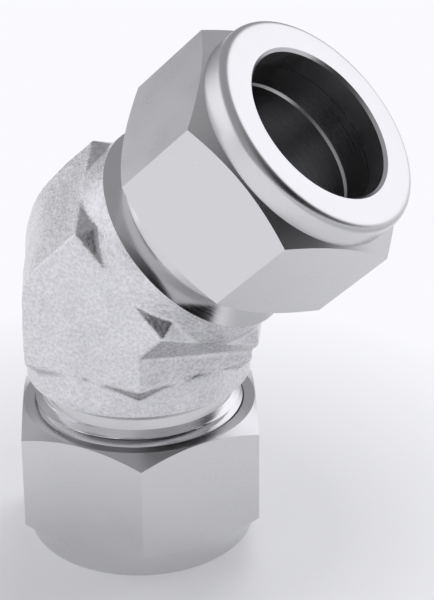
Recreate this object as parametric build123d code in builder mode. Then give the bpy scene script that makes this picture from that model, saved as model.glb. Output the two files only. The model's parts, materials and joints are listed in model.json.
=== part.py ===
# A 45 degree union elbow for metal tube, with a nut and two ferrules on each arm.
# Millimetres. The origin is the centre of the lower nut's end face, and +Z runs up the lower arm.
# "Along" is the distance from the centre of the bend, outwards on an arm's axis.
import os
from math import cos, radians, sin, tan

from build123d import *

os.makedirs("parts", exist_ok=True)

# Tube
tube_diameter = 19.05
tube_clearance = 0.075  # radial, round the tube in every bore that it passes through
tube_depth = 24.4  # from the nut's end face to the shoulder that stops the tube

# Elbow forging
bend_angle = 45.0
forged_wall = 0.8  # radial, from the thread's crests out to the flats
forged_round = 1.0  # on the long edges
throat_fillet = 2.5
hexagon_land = 1.69305  # from where the corners meet in the throat to the end of the hexagon
hexagon_end_round = 1.1  # where the corners end
neck_step = 0.15  # radial, from the flats out to the neck
neck_length = 3.7
neck_taper = 2.55  # from the neck down to the relief
shoulder_width = 1.725  # radial, from the passage out to the tube's bore
drill_point_angle = 118.0

# Thread, modelled as a plain cylinder at the pitch diameter
thread_pitch = 1.27
pitch_line_factor = 0.6495  # of the pitch, from the major diameter down to the pitch diameter
thread_clearance = 0.05  # radial, at the pitch diameter
thread_length = 8.7
thread_lead_chamfer = 0.6
relief_depth = 1.0  # radial, below the thread's crests
relief_width = 0.7

# Cone that the front ferrule seats in
cone_half_angle = 12.0
mouth_flare = 1.35  # radial, from the tube's bore out to the body's mouth
seat_clearance = 0.08  # between the ferrules, and between ferrule and cone

# Front ferrule
front_nose_wall = 0.35
front_length = 9.2
front_flange_step = 0.204615  # radial, from the end of the cone
front_flange_width = 2.4
recess_flare = 1.35  # radial, from the bore
recess_depth = 1.8

# Back ferrule
back_nose_wall = 0.3
back_flange_step = 0.2  # radial, in from the front ferrule's flange
back_flange_width = 1.5
back_flange_gap = 0.35  # between the two ferrules' flanges, before the nut is pulled up
drive_angle = 15.0  # of the nut's shoulder, from a plane across the axis

# Nut
nut_wall = 2.915951  # from the end face to the shoulder that drives the ferrules
nut_flat_wall = 1.5875  # radial, from the thread's crests out to the flats
nut_rear_gap = 1.2  # from the start of the body's thread
nut_rear_chamfer_angle = 31.0
nut_rear_chamfer_width = 2.297784  # radial, at the corners
nut_front_chamfer_angle = 27.0
nut_front_chamfer = 4.6  # from the end face to where the chamfer leaves the corners
collar_step = 0.3375  # radial, in from the flats
collar_round = 1.0
bore_chamfer = 0.35
entry_chamfer = 0.55
pocket_clearance = 0.15  # radial, round the front ferrule's flange
pocket_step = 0.587568  # radial, from the pocket out to the nut's thread
pocket_lead = 0.6


def corner_radius(flats):
    return flats / 2 / cos(radians(30))


# Radii, from the tube outwards
cone_slope = tan(radians(cone_half_angle))
bore_radius = tube_diameter / 2 + tube_clearance
passage_radius = bore_radius - shoulder_width
mouth_radius = bore_radius + mouth_flare
front_nose_radius = bore_radius + front_nose_wall
front_cone_length = front_length - front_flange_width
front_cone_radius = front_nose_radius + front_cone_length * cone_slope
front_flange_radius = front_cone_radius + front_flange_step
recess_radius = bore_radius + recess_flare
recess_slope = recess_flare / recess_depth
back_nose_radius = bore_radius + back_nose_wall
back_flange_radius = front_flange_radius - back_flange_step
pocket_radius = front_flange_radius + pocket_clearance
nut_thread_radius = pocket_radius + pocket_step
thread_radius = nut_thread_radius - thread_clearance
crest_radius = thread_radius + pitch_line_factor * thread_pitch / 2
relief_radius = crest_radius - relief_depth
body_flats = 2 * (crest_radius + forged_wall)
body_corner = corner_radius(body_flats)
neck_radius = body_flats / 2 + neck_step
nut_flats = 2 * (crest_radius + nut_flat_wall)
nut_corner = corner_radius(nut_flats)
nut_rear_radius = nut_corner - nut_rear_chamfer_width
collar_radius = nut_flats / 2 - collar_step

# Distances along an arm, from the centre of the bend outwards
half_bend = radians(bend_angle / 2)
hexagon_end = body_corner * tan(half_bend) + hexagon_land
neck_end = hexagon_end + neck_length
relief_start = neck_end + neck_taper
thread_start = relief_start + relief_width
nut_rear = thread_start + nut_rear_gap
body_end = thread_start + thread_length
front_nose = body_end - (mouth_radius - seat_clearance - front_nose_radius) / cone_slope
front_flange = front_nose + front_cone_length
front_rear = front_nose + front_length
recess_bottom = front_rear - recess_depth
back_nose = recess_bottom + (back_nose_wall + seat_clearance) / recess_slope
back_flange = front_rear + back_flange_gap
back_edge = back_flange + back_flange_width
drive_slope = tan(radians(drive_angle))
back_rear = back_edge + (back_flange_radius - bore_radius) * drive_slope
nut_shoulder = back_rear + seat_clearance
arm_length = nut_shoulder + nut_wall
tube_shoulder = arm_length - tube_depth
corner_front = arm_length - nut_front_chamfer

centre = Vector(0, 0, arm_length)


class Arm:
    """An arm of the elbow, leaning from +Z towards +X by an angle in degrees."""

    def __init__(self, name, lean):
        self.name = name
        self.direction = Vector(sin(radians(lean)), 0, cos(radians(lean)))
        self.across = Vector(cos(radians(lean)), 0, -sin(radians(lean)))
        self.axis = Axis(centre, self.direction)
        # Profiles are drawn here, radius first and distance along the arm second
        self.profile = Plane(centre, x_dir=self.across, z_dir=(0, -1, 0))

    def section(self, along):
        """The plane across the arm at a distance along it."""
        return Plane(centre + self.direction * along, x_dir=self.across, z_dir=self.direction)


def turned(arm, points, mode=Mode.ADD):
    """Turn a closed outline of (radius, along) points about the arm's axis."""
    with BuildSketch(arm.profile) as outline:
        with BuildLine():
            Polyline(*points, close=True)
        make_face()
    revolve(outline.sketch, axis=arm.axis, mode=mode)


def hexagon(flats):
    """A hexagon with two flats facing sideways and two corners in the plane of the bend."""
    RegularPolygon(radius=flats / 2, side_count=6, major_radius=False)


lower = Arm("lower", 180)
upper = Arm("upper", bend_angle)
arms = (lower, upper)

# The plane that halves the bend, with its normal towards the upper arm
mitre = Plane(centre, x_dir=(cos(half_bend), 0, -sin(half_bend)), z_dir=(sin(half_bend), 0, cos(half_bend)))

# Close enough to count as touching
touching = 0.01

# Each arm starts as a hexagonal bar, cut where it meets the other in the throat
with BuildPart() as lower_bar:
    with BuildSketch(lower.section(0)):
        hexagon(body_flats)
    extrude(amount=hexagon_end)
    split(bisect_by=mitre, keep=Keep.BOTTOM)

with BuildPart() as upper_bar:
    with BuildSketch(upper.section(0)):
        hexagon(body_flats)
    extrude(amount=hexagon_end)
    split(bisect_by=mitre, keep=Keep.TOP)

with BuildPart() as elbow_body:
    add(lower_bar.part)
    add(upper_bar.part)

    # The heel is half the hexagon, turned through the bend
    with BuildSketch(Plane(centre, x_dir=(-1, 0, 0), z_dir=(0, 0, 1))):
        hexagon(body_flats)
        with Locations((-body_flats, 0)):
            Rectangle(2 * body_flats, 2 * body_flats, mode=Mode.SUBTRACT)
    revolve(axis=Axis(centre, (0, 1, 0)), revolution_arc=bend_angle)

    # The crease in the throat is blended on one side and mirrored, then the long edges are rounded
    split(bisect_by=Plane.XZ, keep=Keep.TOP)
    crease_end = centre + mitre.x_dir * (body_corner / cos(half_bend))
    crease = elbow_body.edges().filter_by(lambda edge: edge.distance_to(crease_end) < touching)
    fillet(crease.filter_by(lambda edge: abs(edge.tangent_at(0.5).Y) > touching), radius=throat_fillet)
    mirror(about=Plane.XZ)
    fillet(elbow_body.edges().filter_by(lower.axis), radius=forged_round)

    # The corners end in a rounded step round the neck
    for arm in arms:
        with BuildSketch(arm.profile):
            with BuildLine():
                step = Polyline((neck_radius, hexagon_end), (body_corner - hexagon_end_round, hexagon_end))
                RadiusArc(step @ 1, (body_corner, hexagon_end - hexagon_end_round), hexagon_end_round)
                Polyline(
                    (body_corner, hexagon_end - hexagon_end_round),
                    (body_corner + hexagon_end_round, hexagon_end - hexagon_end_round),
                    (body_corner + hexagon_end_round, hexagon_end + hexagon_end_round),
                    (neck_radius, hexagon_end + hexagon_end_round),
                    (neck_radius, hexagon_end),
                )
            make_face()
        revolve(axis=arm.axis, mode=Mode.SUBTRACT)

    # Neck, relief and thread
    for arm in arms:
        turned(
            arm,
            [
                (0, hexagon_end / 2),
                (body_flats / 2 - forged_round, hexagon_end / 2),
                (neck_radius, hexagon_end + forged_round / 2),
                (neck_radius, neck_end),
                (relief_radius, relief_start),
                (relief_radius, thread_start - thread_lead_chamfer / 2),
                (thread_radius, thread_start + thread_lead_chamfer / 2),
                (thread_radius, body_end - thread_lead_chamfer),
                (thread_radius - thread_lead_chamfer, body_end),
                (0, body_end),
            ],
        )

    # Drilled passage, tube socket and the cone for the front ferrule
    for arm in arms:
        turned(
            arm,
            [
                (0, -passage_radius / tan(radians(drill_point_angle / 2))),
                (passage_radius, 0),
                (passage_radius, tube_shoulder),
                (bore_radius, tube_shoulder),
                (bore_radius, body_end - (mouth_radius - bore_radius) / cone_slope),
                (mouth_radius, body_end),
                (0, body_end),
            ],
            mode=Mode.SUBTRACT,
        )
elbow_body.part.label = "elbow_body"
export_step(elbow_body.part, "parts/elbow_body.step")

for arm in arms:
    # Front ferrule: a long cone, a flange behind it and a recess for the back ferrule
    with BuildPart() as front_ferrule:
        turned(
            arm,
            [
                (bore_radius, front_nose),
                (front_nose_radius, front_nose),
                (front_cone_radius, front_flange),
                (front_flange_radius, front_flange),
                (front_flange_radius, front_rear),
                (recess_radius, front_rear),
                (bore_radius, recess_bottom),
            ],
        )
    front_ferrule.part.label = f"{arm.name}_front_ferrule"
    export_step(front_ferrule.part, f"parts/{front_ferrule.part.label}.step")

    # Back ferrule: a nose that fits the recess, and a flange that the nut pushes on
    with BuildPart() as back_ferrule:
        turned(
            arm,
            [
                (bore_radius, back_nose),
                (back_nose_radius, back_nose),
                (back_nose_radius + (back_flange - back_nose) * recess_slope, back_flange),
                (back_flange_radius, back_flange),
                (back_flange_radius, back_edge),
                (bore_radius, back_rear),
            ],
        )
    back_ferrule.part.label = f"{arm.name}_back_ferrule"
    export_step(back_ferrule.part, f"parts/{back_ferrule.part.label}.step")

    # Nut: a turned and chamfered blank with its bore, cut to a hexagon
    rear_chamfer = nut_rear_chamfer_width * tan(radians(nut_rear_chamfer_angle))
    front_chamfer = (nut_corner - collar_radius) * tan(radians(nut_front_chamfer_angle))
    pocket_start = front_flange + pocket_lead
    with BuildPart() as nut:
        turned(
            arm,
            [
                (nut_thread_radius + entry_chamfer, nut_rear),
                (nut_rear_radius, nut_rear),
                (nut_corner, nut_rear + rear_chamfer),
                (nut_corner, corner_front),
                (collar_radius, corner_front + front_chamfer),
                (collar_radius, arm_length),
                (bore_radius + bore_chamfer, arm_length),
                (bore_radius, arm_length - bore_chamfer),
                (bore_radius, nut_shoulder),
                (pocket_radius, nut_shoulder - (pocket_radius - bore_radius) * drive_slope),
                (pocket_radius, pocket_start),
                (nut_thread_radius, pocket_start - pocket_step),
                (nut_thread_radius, nut_rear + entry_chamfer),
            ],
        )
        with BuildSketch(arm.section(nut_rear)):
            hexagon(nut_flats)
        extrude(amount=arm_length - nut_rear, mode=Mode.INTERSECT)
        end_circles = nut.edges().filter_by(GeomType.CIRCLE).group_by(arm.axis)[-1]
        fillet(end_circles.sort_by(SortBy.RADIUS)[-1], radius=collar_round)
    nut.part.label = f"{arm.name}_nut"
    export_step(nut.part, f"parts/{nut.part.label}.step")
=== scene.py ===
import json
from math import cos, pi, radians, sin, tan

import bmesh
import bpy
from mathutils import Matrix, Vector, noise


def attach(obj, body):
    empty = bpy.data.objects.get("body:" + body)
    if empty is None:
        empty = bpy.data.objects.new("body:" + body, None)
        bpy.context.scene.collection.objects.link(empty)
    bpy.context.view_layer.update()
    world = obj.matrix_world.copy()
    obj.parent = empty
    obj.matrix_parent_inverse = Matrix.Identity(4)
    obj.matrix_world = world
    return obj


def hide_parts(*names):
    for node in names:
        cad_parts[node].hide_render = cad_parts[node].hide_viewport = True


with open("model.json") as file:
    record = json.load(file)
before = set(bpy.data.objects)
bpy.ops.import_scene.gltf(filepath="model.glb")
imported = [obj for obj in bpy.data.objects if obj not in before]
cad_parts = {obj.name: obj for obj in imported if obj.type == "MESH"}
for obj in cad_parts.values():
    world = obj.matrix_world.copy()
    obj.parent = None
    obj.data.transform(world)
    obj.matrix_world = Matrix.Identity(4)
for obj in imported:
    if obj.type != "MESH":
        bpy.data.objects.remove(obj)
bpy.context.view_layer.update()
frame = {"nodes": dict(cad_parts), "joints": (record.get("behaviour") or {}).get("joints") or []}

MM = 0.001

# Forging, with distances along an arm from the centre of the bend
FORGED_VOXEL = 0.22 * MM
FORGED_SMOOTHING = 3  # passes
HALF_FLATS = 13.5 * MM  # from an axis to the hexagon's flats
HEXAGON_END = 7.7 * MM  # where the flats start to taper
TAPER_LENGTH = 1.8 * MM
TAPER_DEPTH = 1.65 * MM
NECK_ROOT = 5.8 * MM  # where the neck starts, inside the hexagon
NECK_ROOT_RADIUS = 12.8 * MM
NECK_RADIUS = 13.65 * MM
NECK_END = 11.85 * MM  # where the forged skin gives way to the turned end
NECK_SPARE = 1.0 * MM  # of the blank beyond where it is cut
HEEL_STEPS = 15
SWELL_SIZE = 5.0 * MM
SWELL_HEIGHT = 0.16 * MM
GRAIN_SIZE = 0.8 * MM
GRAIN_HEIGHT = 0.03 * MM
UNEVEN_FADE = 0.8 * MM  # before the neck's end, where swell and grain die out

# Turned ends of the body, with distances along an arm from the centre of the bend
NECK_LAP = 0.05 * MM  # of the turned surface under the forged skin
NECK_LAP_DEPTH = NECK_LAP / 4
RELIEF_RADIUS = 11.7 * MM
RELIEF_START = 13.3 * MM
RELIEF_END = 14.6 * MM
THREAD_RUN_OUT = 1.5  # how steeply the thread rises from the relief
THREAD_START = 15.0 * MM  # the first full root of the helix at angle 0
BODY_END = 23.8 * MM
BODY_END_RADIUS = 11.7 * MM
MOUTH_RADIUS = 10.95 * MM
CONE_SLOPE = tan(radians(12))
BORE_RADIUS = 9.6 * MM
TUBE_DEPTH = 24.4 * MM  # of the tube's shoulder, from the nut's open end
PASSAGE_RADIUS = 7.875 * MM

# Thread
PITCH = 1.27 * MM
CREST_RADIUS = 12.7 * MM
THREAD_DEPTH = 0.78 * MM
NUT_CREST_RADIUS = 12.03 * MM
THREAD_CLEARANCE = 0.04 * MM
CREST_FLAT = 1 / 8  # of the pitch
FLANK = 3 / 8  # of the pitch
ROWS_PER_PITCH = 16

# Nut
NUT_LENGTH = 17.7 * MM
NUT_BORE_RADIUS = 12.3374 * MM
NUT_ENTRY_CHAMFER = 0.55 * MM
NUT_THREAD_LENGTH = 9.98 * MM
EDGE_ROOM = 0.03 * MM  # for telling a vertex's radius

# Meshes
ROUND = 128  # segments in a turn
WELD_DISTANCE = 0.001 * MM
SHARP_ANGLE = radians(25)

# Steel: a finish is a tone, a roughness and the height of the lathe lines
NECK_FINISH = ((0.66, 0.66, 0.67), 0.15, 0.002 * MM)
FERRULE_FINISH = ((0.6, 0.6, 0.61), 0.3, 0.006 * MM)
NUT_TONE = (0.68, 0.68, 0.69)
FORGED_DARK = (0.56, 0.56, 0.575, 1)
FORGED_LIGHT = (0.78, 0.78, 0.795, 1)
TURNED_SPREAD = 0.05  # how much darker and lighter than its tone the steel gets
NUT_SPREAD = 0.04
NUT_ROUGHNESS = (0.26, 0.32)
FORGED_ROUGHNESS = (0.24, 0.32)
LINE_POLISH = 0.04  # how much the roughness varies with the lathe lines
CLOUD_POLISH = 0.02
CLOUDS = (6 * MM, 3.0)  # the size of the spots and the noise's detail
PITS = (0.42 * MM, 4.0)
MOTTLE = (2.5 * MM, 3.0)
NOISE_SPAN = (0.3, 0.7)  # the values of a noise that its effect is spread over
PIT_SPAN = (0.35, 0.65)
PIT_SHARE = 0.7  # of the forging's change of tone
MOTTLE_SHARE = 0.3
PIT_HEIGHT = 0.08 * MM
LATHE_LINE = 0.16 * MM
NUT_LINE_HEIGHT = 0.003 * MM
DRAWN_LINE = 0.3 * MM
DRAWN_STRETCH = (1, 1, 0.04)  # the lines run along the arm
DRAWN_SHARE = 0.3  # of the height of the nut's lathe lines
TURNED_FACING = (0.1, 0.2)  # how far a face looks along the arm, from drawn flat to turned face
NUT_INSIDE_RADIUS = 13.0 * MM  # within it everything is turned
NUT_INSIDE_EDGE = 0.03 * MM

# Studio: a panel is a direction, its strength and the cosine at which it starts
BACKDROP_COLOUR = (0.955, 0.955, 0.99, 1)
STUDIO_LEVEL = 0.4
STUDIO_PANELS = (
    ((-0.95, -0.3, 0.05), 0.85, 0.65),
    ((0.44, 0.79, 0.42), 1.1, 0.8),
    ((0.95, -0.2, 0.18), -0.4, 0.4),
)
KEY_PLACE = (-0.05, 0.4, 0.45)
KEY_SIZE = 0.35
KEY_POWER = 1.2

# Floor, which gives the backdrop's own light where it is far from the object
FLOOR_HALF_WIDTH = 2.0
FLOOR_COLOUR = (0.86, 0.865, 0.88, 1)
FLOOR_ROUGHNESS = 0.9
FLOOR_SPECULAR = 0.1
FLOOR_GLOW = 0.36  # share of that light under the object
FLOOR_FADE = (0.024, 0.062)  # from the origin, where the share rises to the whole
FLOOR_SHADE = 0.9  # how much of that light the floor lacks on the object's right
FLOOR_SHADE_EDGE = (0.045, 0.085)  # along X, from where the shade starts to where it is full
FLOOR_SHADE_REACH = (0.2, 0.4)  # from the origin, where the shade fades out

# Camera, from the photograph
CAMERA_PLACE = (0.121246, -0.209923, 0.150307)
CAMERA_AIM = (0.009140, 0.003312, 0.031323)
CAMERA_ROLL = radians(-0.4)
CAMERA_LENS = 134.44
CAMERA_CLIP_START = 0.01

hinges = {joint["child"]: joint for joint in frame["joints"] if joint["type"] == "hinge"}


class Arm:
    """An arm of the elbow: its axis, and points given by radius, angle and distance along it."""

    def __init__(self, name):
        hinge = hinges[f"{name}_nut"]
        self.name = name
        self.centre = Vector(hinge["pos_m"])
        self.direction = Vector(hinge["axis"]).normalized()
        self.side = Vector((0, 1, 0))
        self.across = self.side.cross(self.direction)

    def point(self, radius, angle, along):
        outwards = self.across * cos(angle) + self.side * sin(angle)
        return self.centre + outwards * radius + self.direction * along

    def local(self, place):
        """The radius and the distance along the arm of a point in the row frame."""
        offset = place - self.centre
        along = offset.dot(self.direction)
        return (offset - self.direction * along).length, along

    def to_local(self):
        """The matrix from the row frame to the arm's own axes, with Z along the arm."""
        axes = Matrix((self.across, self.side, self.direction)).to_4x4()
        return axes @ Matrix.Translation(-self.centre)


lower = Arm("lower")
upper = Arm("upper")
arms = (lower, upper)
arm_length = lower.centre.z  # from the centre of the bend to the nut's open end
nut_rear = arm_length - NUT_LENGTH
bend = pi - lower.direction.angle(upper.direction)
mitre_normal = (upper.direction - lower.direction).normalized()


# Materials


class Nodes:
    """A node tree, with short ways to add nodes and join them."""

    def __init__(self, tree):
        self.tree = tree

    def join(self, socket, value):
        if isinstance(value, bpy.types.NodeSocket):
            self.tree.links.new(value, socket)
        else:
            socket.default_value = value

    def add(self, kind, inputs=None, **settings):
        node = self.tree.nodes.new(kind)
        for name, value in settings.items():
            setattr(node, name, value)
        for name, value in (inputs or {}).items():
            self.join(node.inputs[name], value)
        return node

    def math(self, operation, *values):
        return self.add("ShaderNodeMath", dict(enumerate(values)), operation=operation).outputs[0]

    def dot(self, first, second):
        node = self.add("ShaderNodeVectorMath", {0: first, 1: second}, operation="DOT_PRODUCT")
        return node.outputs["Value"]

    def range(self, value, low, high, to_low=0.0, to_high=1.0, **settings):
        spans = {"From Min": low, "From Max": high, "To Min": to_low, "To Max": to_high}
        return self.add("ShaderNodeMapRange", {"Value": value, **spans}, **settings).outputs[0]


class Shader(Nodes):
    """The nodes of a material."""

    def __init__(self, name):
        self.material = bpy.data.materials.new(name)
        self.material.use_nodes = True
        super().__init__(self.material.node_tree)
        self.surface = self.tree.nodes["Principled BSDF"]

    def place(self):
        return self.add("ShaderNodeTexCoord").outputs["Object"]

    def arm_place(self, arm):
        """The place on the arm's own axes, with Z along it."""
        local = arm.to_local()
        inputs = {
            "Vector": self.place(),
            "Location": local.to_translation(),
            "Rotation": local.to_euler(),
        }
        return self.add("ShaderNodeMapping", inputs, vector_type="POINT").outputs[0]

    def noise(self, place, size, detail=2.0):
        """Noise from 0 to 1, with spots of about the given size in metres."""
        inputs = {"Vector": place, "Scale": 1 / size, "Detail": detail}
        return self.add("ShaderNodeTexNoise", inputs).outputs["Fac"]

    def blend(self, factor, first, second):
        # A mix node has its colours in inputs 6 and 7 and output 2
        inputs = {"Factor": factor, 6: first, 7: second}
        return self.add("ShaderNodeMix", inputs, data_type="RGBA").outputs[2]

    def uneven(self, factor, tone, spread):
        """The tone, from darker to lighter by the spread as the factor goes from 0 to 1."""
        low = [channel * (1 - spread) for channel in tone]
        high = [min(channel * (1 + spread), 1) for channel in tone]
        return self.blend(factor, (*low, 1), (*high, 1))

    def bump(self, height, distance):
        return self.add("ShaderNodeBump", {"Height": height, "Distance": distance}).outputs[0]

    def steel(self, colour, roughness, normal):
        """Joins up a surface of bare metal and gives its material."""
        self.join(self.surface.inputs["Base Color"], colour)
        self.join(self.surface.inputs["Roughness"], roughness)
        self.join(self.surface.inputs["Normal"], normal)
        self.join(self.surface.inputs["Metallic"], 1.0)
        return self.material


def turned_lines(shader, place):
    """Fine rings round the arm's axis, as a lathe leaves them, from 0 to 1, and the radius."""
    x, y, z = shader.add("ShaderNodeSeparateXYZ", {"Vector": place}).outputs
    squares = [shader.math("MULTIPLY", value, value) for value in (x, y)]
    radius = shader.math("SQRT", shader.math("ADD", *squares))
    ring = shader.add("ShaderNodeCombineXYZ", {"X": radius, "Y": z})
    return shader.noise(ring.outputs[0], LATHE_LINE), radius


def turned_steel(name, arm, tone, roughness, line_height):
    """Bright steel with lathe lines, and a slight unevenness of tone and polish."""
    shader = Shader(name)
    lines = turned_lines(shader, shader.arm_place(arm))[0]
    cloud = shader.noise(shader.place(), *CLOUDS)
    line_polish = shader.range(lines, *NOISE_SPAN, -LINE_POLISH, LINE_POLISH)
    cloud_polish = shader.range(cloud, *NOISE_SPAN, -CLOUD_POLISH, CLOUD_POLISH)
    polish = shader.math("ADD", line_polish, cloud_polish)
    return shader.steel(
        shader.uneven(cloud, tone, TURNED_SPREAD),
        shader.math("ADD", polish, roughness),
        shader.bump(lines, line_height),
    )


def nut_steel(name, arm):
    """Bright steel, with lathe lines on the turned faces and faint drawn lines along the flats."""
    shader = Shader(name)
    place = shader.arm_place(arm)
    lines, radius = turned_lines(shader, place)
    stretch = {0: place, 1: DRAWN_STRETCH}
    drawn_place = shader.add("ShaderNodeVectorMath", stretch, operation="MULTIPLY").outputs[0]
    drawn = shader.math("MULTIPLY", shader.noise(drawn_place, DRAWN_LINE), DRAWN_SHARE)
    normal = shader.add("ShaderNodeTexCoord").outputs["Normal"]
    facing = shader.math("ABSOLUTE", shader.dot(normal, arm.direction))
    inner = shader.range(radius, NUT_INSIDE_RADIUS, NUT_INSIDE_RADIUS - NUT_INSIDE_EDGE)
    turned = shader.math("MAXIMUM", shader.range(facing, *TURNED_FACING), inner)
    turned_height = shader.math("MULTIPLY", lines, turned)
    drawn_height = shader.math("MULTIPLY", shader.math("SUBTRACT", 1.0, turned), drawn)
    cloud = shader.noise(shader.place(), *CLOUDS)
    return shader.steel(
        shader.uneven(cloud, NUT_TONE, NUT_SPREAD),
        shader.range(cloud, *NOISE_SPAN, *NUT_ROUGHNESS),
        shader.bump(shader.math("ADD", turned_height, drawn_height), NUT_LINE_HEIGHT),
    )


def forged_steel(name):
    """Matt, grainy steel: fine pits and a faint mottle."""
    shader = Shader(name)
    place = shader.place()
    pits = shader.noise(place, *PITS)
    mottle = shader.noise(place, *MOTTLE)
    pit_tone = shader.range(pits, *PIT_SPAN, 0.0, PIT_SHARE)
    mottle_tone = shader.range(mottle, *NOISE_SPAN, 0.0, MOTTLE_SHARE)
    return shader.steel(
        shader.blend(shader.math("ADD", pit_tone, mottle_tone), FORGED_DARK, FORGED_LIGHT),
        shader.range(pits, *NOISE_SPAN, *FORGED_ROUGHNESS),
        shader.bump(pits, PIT_HEIGHT),
    )


# Pieces


def add_object(name, data):
    made = bpy.data.objects.new(name, data)
    bpy.context.scene.collection.objects.link(made)
    return made


def new_piece(name, mesh, body, material):
    piece = add_object(name, mesh)
    mesh.materials.clear()
    mesh.materials.append(material)
    mesh.shade_smooth()
    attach(piece, body)
    return piece


def closed_loft(build, rings):
    """Joins rings of points with faces and closes both ends."""
    made = [[build.verts.new(place) for place in ring] for ring in rings]
    for near, far in zip(made, made[1:]):
        for number in range(len(near)):
            build.faces.new((near[number - 1], near[number], far[number], far[number - 1]))
    build.faces.new(made[0][::-1])
    build.faces.new(made[-1])


def round_ring(arm, radius, along, count=ROUND):
    return [arm.point(radius, 2 * pi * step / count, along) for step in range(count)]


def to_corners(half_flats):
    """From a hexagon's axis to its corners."""
    return half_flats / cos(pi / 6)


def hexagon_ring(arm, half_flats, along):
    return round_ring(arm, to_corners(half_flats), along, 6)


def forging_blank():
    """The forging's sharp-edged bars, heel and necks, as overlapping closed solids."""
    build = bmesh.new()
    for arm in arms:
        closed_loft(build, (
            hexagon_ring(arm, HALF_FLATS, 0),
            hexagon_ring(arm, HALF_FLATS, HEXAGON_END),
            hexagon_ring(arm, HALF_FLATS - TAPER_DEPTH, HEXAGON_END + TAPER_LENGTH),
        ))
        closed_loft(build, (
            round_ring(arm, NECK_ROOT_RADIUS, NECK_ROOT),
            round_ring(arm, NECK_RADIUS, HEXAGON_END),
            round_ring(arm, NECK_RADIUS, NECK_END + NECK_SPARE),
        ))
    corner = to_corners(HALF_FLATS)
    half_hexagon = (
        (0, -HALF_FLATS),
        (corner / 2, -HALF_FLATS),
        (corner, 0),
        (corner / 2, HALF_FLATS),
        (0, HALF_FLATS),
    )
    heel = []
    for step in range(HEEL_STEPS + 1):
        outwards = Matrix.Rotation(bend * step / HEEL_STEPS, 3, "Y") @ Vector((-1, 0, 0))
        heel.append([lower.centre + outwards * out + lower.side * side for out, side in half_hexagon])
    closed_loft(build, heel)
    bmesh.ops.recalc_face_normals(build, faces=build.faces)
    mesh = bpy.data.meshes.new("blank")
    build.to_mesh(mesh)
    build.free()
    return mesh


def forged_skin(material):
    """The forging's outer skin between the two necks, softened and given its uneven surface."""
    blank = add_object("blank", forging_blank())
    remesh = blank.modifiers.new("remesh", "REMESH")
    remesh.mode = "VOXEL"
    remesh.voxel_size = FORGED_VOXEL
    smooth = blank.modifiers.new("smooth", "SMOOTH")
    smooth.iterations = FORGED_SMOOTHING
    evaluated = blank.evaluated_get(bpy.context.evaluated_depsgraph_get())
    mesh = bpy.data.meshes.new_from_object(evaluated)
    mesh.name = "elbow_forging"
    bpy.data.objects.remove(blank)

    skin = bmesh.new()
    skin.from_mesh(mesh)
    for arm in arms:
        bmesh.ops.bisect_plane(
            skin,
            geom=skin.verts[:] + skin.edges[:] + skin.faces[:],
            plane_co=arm.centre + arm.direction * NECK_END,
            plane_no=arm.direction,
            clear_outer=True,
        )
    skin.normal_update()
    for vertex in skin.verts:
        arm = max(arms, key=lambda arm: arm.local(vertex.co)[1])
        radius, along = arm.local(vertex.co)
        uneven = min(max((NECK_END - along) / UNEVEN_FADE, 0), 1)
        swell = noise.noise(vertex.co / SWELL_SIZE) * SWELL_HEIGHT
        grain = noise.noise(vertex.co / GRAIN_SIZE) * GRAIN_HEIGHT
        outwards = vertex.co - arm.point(0, 0, along)
        # The cut edge meets the turned neck
        vertex.co += outwards * ((NECK_RADIUS / radius - 1) * (1 - uneven))
        vertex.co += vertex.normal * (swell + grain) * uneven
    skin.to_mesh(mesh)
    skin.free()
    return new_piece("elbow_forging", mesh, "elbow", material)


def crest_shape(along, angle):
    """How deep the right-hand thread is at a place, from 0 on the crest to 1 in the root."""
    turns = (along - THREAD_START) / PITCH - angle / (2 * pi)
    from_crest = abs(turns % 1 - 0.5)
    return min(max((from_crest - CREST_FLAT / 2) / FLANK, 0), 1)


def body_thread(along, angle):
    """The radius of the body's thread, chamfered at both ends."""
    radius = CREST_RADIUS - THREAD_DEPTH * crest_shape(along, angle)
    run_out = RELIEF_RADIUS + (along - RELIEF_END) * THREAD_RUN_OUT
    return min(radius, run_out, BODY_END_RADIUS + BODY_END - along)


def nut_thread(along, angle):
    """The radius of the nut's thread, which clears the body's, with a chamfer where it starts."""
    radius = CREST_RADIUS - THREAD_DEPTH * crest_shape(along, angle) + THREAD_CLEARANCE
    entry = NUT_BORE_RADIUS + NUT_ENTRY_CHAMFER - (along - nut_rear)
    return max(radius, NUT_CREST_RADIUS, entry)


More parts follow.
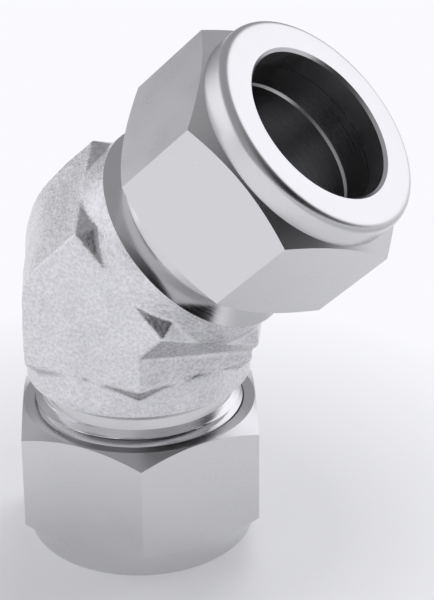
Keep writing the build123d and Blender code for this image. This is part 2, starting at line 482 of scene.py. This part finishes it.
class Surface:
    """A mesh gathered from grids that run round an arm."""

    def __init__(self, arm, mesh=None):
        self.arm = arm
        self.build = bmesh.new()
        if mesh:
            self.build.from_mesh(mesh)

    def grid(self, rows):
        """Joins rows of vertices. A row gives the radius and the distance along for an angle."""
        angles = [2 * pi * step / ROUND for step in range(ROUND + 1)]
        made = []
        for row in rows:
            vertices = []
            for angle in angles:
                radius, along = row(angle)
                vertices.append(self.build.verts.new(self.arm.point(radius, angle, along)))
            made.append(vertices)
        for near, far in zip(made, made[1:]):
            for step in range(ROUND):
                self.build.faces.new((near[step], near[step + 1], far[step + 1], far[step]))

    def turned(self, *points):
        """A turned surface through (radius, along) points."""
        self.grid([lambda angle, point=point: point for point in points])

    def passage(self, shoulder):
        """The drilled passage, from the tube's shoulder to where it meets the other arm's."""

        def mitre(angle):
            outwards = self.arm.point(PASSAGE_RADIUS, angle, 0) - self.arm.centre
            along = -outwards.dot(mitre_normal) / self.arm.direction.dot(mitre_normal)
            return PASSAGE_RADIUS, along

        self.grid([lambda angle: (PASSAGE_RADIUS, shoulder), mitre])

    def thread(self, start, end, radius):
        """A threaded surface whose rows follow the helix. radius takes along and angle."""

        def row(number):
            def place(angle):
                along = THREAD_START + (number / ROWS_PER_PITCH + angle / (2 * pi)) * PITCH
                along = min(max(along, start), end)
                return radius(along, angle), along

            return place

        # A row rises by one pitch in its turn, so the first one starts more than a pitch early
        first = int((start - THREAD_START) / PITCH * ROWS_PER_PITCH) - ROWS_PER_PITCH - 1
        last = int((end - THREAD_START) / PITCH * ROWS_PER_PITCH) + 2
        self.grid([row(number) for number in range(first, last)])

    def mesh(self, name):
        bmesh.ops.remove_doubles(self.build, verts=self.build.verts, dist=WELD_DISTANCE)
        bmesh.ops.dissolve_degenerate(self.build, edges=self.build.edges, dist=WELD_DISTANCE)
        bmesh.ops.recalc_face_normals(self.build, faces=self.build.faces)
        mesh = bpy.data.meshes.new(name)
        self.build.to_mesh(mesh)
        if "custom_normal" in mesh.attributes:
            mesh.attributes.remove(mesh.attributes["custom_normal"])
        self.build.free()
        mesh.shade_smooth()
        mesh.set_sharp_from_angle(angle=SHARP_ANGLE)
        return mesh


def turned_end(arm, material):
    """An arm's neck, relief, thread, mouth, tube socket and passage."""
    surface = Surface(arm)
    shoulder = arm_length - TUBE_DEPTH
    cone_start = BODY_END - (MOUTH_RADIUS - BORE_RADIUS) / CONE_SLOPE
    surface.turned(
        (NECK_RADIUS - NECK_LAP_DEPTH, NECK_END - NECK_LAP),
        (NECK_RADIUS, NECK_END),
        (RELIEF_RADIUS, RELIEF_START),
        (RELIEF_RADIUS, RELIEF_END),
    )
    surface.thread(RELIEF_END, BODY_END, body_thread)
    surface.turned(
        (BODY_END_RADIUS, BODY_END),
        (MOUTH_RADIUS, BODY_END),
        (BORE_RADIUS, cone_start),
        (BORE_RADIUS, shoulder),
        (PASSAGE_RADIUS, shoulder),
    )
    surface.passage(shoulder)
    name = f"{arm.name}_turned_end"
    new_piece(name, surface.mesh(name), "elbow", material)


def threaded_nut(arm, material):
    """The nut, with the plain bore of the CAD piece cut out and a thread in its place."""
    surface = Surface(arm, frame["nodes"][f"{arm.name}_nut"].data)
    narrowest = NUT_BORE_RADIUS - EDGE_ROOM
    widest = NUT_BORE_RADIUS + NUT_ENTRY_CHAMFER + EDGE_ROOM
    bore = []
    for face in surface.build.faces:
        radii = [arm.local(vertex.co)[0] for vertex in face.verts]
        if min(radii) > narrowest and max(radii) < widest:
            bore.append(face)
    bmesh.ops.delete(surface.build, geom=bore, context="FACES")
    surface.thread(nut_rear, nut_rear + NUT_THREAD_LENGTH, nut_thread)
    name = f"{arm.name}_threaded_nut"
    piece = new_piece(name, surface.mesh(name), f"{arm.name}_nut", material)
    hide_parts(f"{arm.name}_nut")


# The studio


def looking(place, aim):
    """The rotation of a lamp or camera at a place, looking at its aim."""
    return (Vector(aim) - Vector(place)).to_track_quat("-Z", "Y")


def studio():
    """Even light with panels in it. The camera itself sees the plain backdrop."""
    world = bpy.data.worlds.new("studio")
    bpy.context.scene.world = world
    world.use_nodes = True
    nodes = Nodes(world.node_tree)
    place = nodes.add("ShaderNodeTexCoord").outputs["Generated"]
    level = STUDIO_LEVEL
    for direction, strength, start in STUDIO_PANELS:
        aim = nodes.dot(place, Vector(direction).normalized())
        panel = nodes.range(aim, start, 1.0, 0.0, strength, interpolation_type="SMOOTHSTEP")
        level = nodes.math("ADD", panel, level)
    seen = nodes.add("ShaderNodeLightPath").outputs["Is Camera Ray"]
    shown = nodes.add("ShaderNodeMix", {"Factor": seen, "A": level, "B": 1.0})
    background = nodes.tree.nodes["Background"]
    nodes.join(background.inputs["Strength"], shown.outputs["Result"])
    nodes.join(background.inputs["Color"], BACKDROP_COLOUR)


def floor():
    """A matt floor that glows as the backdrop does, but less under the object and on its right."""
    mesh = bpy.data.meshes.new("floor")
    half = FLOOR_HALF_WIDTH
    corners = [(-half, -half, 0), (half, -half, 0), (half, half, 0), (-half, half, 0)]
    mesh.from_pydata(corners, [], [(0, 1, 2, 3)])
    plane = add_object("floor", mesh)
    shader = Shader("floor")
    shader.join(shader.surface.inputs["Roughness"], FLOOR_ROUGHNESS)
    shader.join(shader.surface.inputs["Specular IOR Level"], FLOOR_SPECULAR)
    shader.join(shader.surface.inputs["Base Color"], FLOOR_COLOUR)
    place = shader.place()
    far = shader.add("ShaderNodeVectorMath", {0: place}, operation="LENGTH").outputs["Value"]
    right = shader.add("ShaderNodeSeparateXYZ", {"Vector": place}).outputs["X"]
    near = shader.range(far, *FLOOR_SHADE_REACH, 1.0, 0.0)
    shade = shader.math("MULTIPLY", shader.range(right, *FLOOR_SHADE_EDGE, 0.0, FLOOR_SHADE), near)
    share = shader.range(far, *FLOOR_FADE, FLOOR_GLOW)
    share = shader.math("MULTIPLY", share, shader.math("SUBTRACT", 1.0, shade))
    glow = shader.add("ShaderNodeEmission", {"Color": BACKDROP_COLOUR, "Strength": 1.0})
    layers = {0: share, 1: shader.surface.outputs[0], 2: glow.outputs[0]}
    mixed = shader.add("ShaderNodeMixShader", layers).outputs[0]
    shader.join(shader.tree.nodes["Material Output"].inputs["Surface"], mixed)
    mesh.materials.append(shader.material)


def key_lamp():
    light = bpy.data.lights.new("key", "AREA")
    light.shape = "DISK"
    light.size = KEY_SIZE
    light.energy = KEY_POWER
    lamp = add_object("key", light)
    lamp.location = KEY_PLACE
    lamp.rotation_euler = looking(KEY_PLACE, (0, 0, arm_length)).to_euler()
    lamp.visible_glossy = False  # the steel would mirror it as a white patch


def camera():
    view = bpy.data.cameras.new("camera")
    view.lens = CAMERA_LENS
    view.clip_start = CAMERA_CLIP_START
    look = looking(CAMERA_PLACE, CAMERA_AIM).to_matrix() @ Matrix.Rotation(CAMERA_ROLL, 3, "Z")
    eye = add_object("camera", view)
    eye.matrix_world = Matrix.Translation(CAMERA_PLACE) @ look.to_4x4()
    bpy.context.scene.camera = eye
    bpy.context.scene.view_settings.view_transform = "Standard"


forging = forged_skin(forged_steel("forged_steel"))
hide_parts("elbow_body")
for arm in arms:
    turned_end(arm, turned_steel(f"{arm.name}_neck_steel", arm, *NECK_FINISH))
    threaded_nut(arm, nut_steel(f"{arm.name}_nut_steel", arm))
    ferrule = turned_steel(f"{arm.name}_ferrule_steel", arm, *FERRULE_FINISH)
    for name in (f"{arm.name}_front_ferrule", f"{arm.name}_back_ferrule"):
        frame["nodes"][name].data.materials[0] = ferrule

studio()
floor()
key_lamp()
camera()
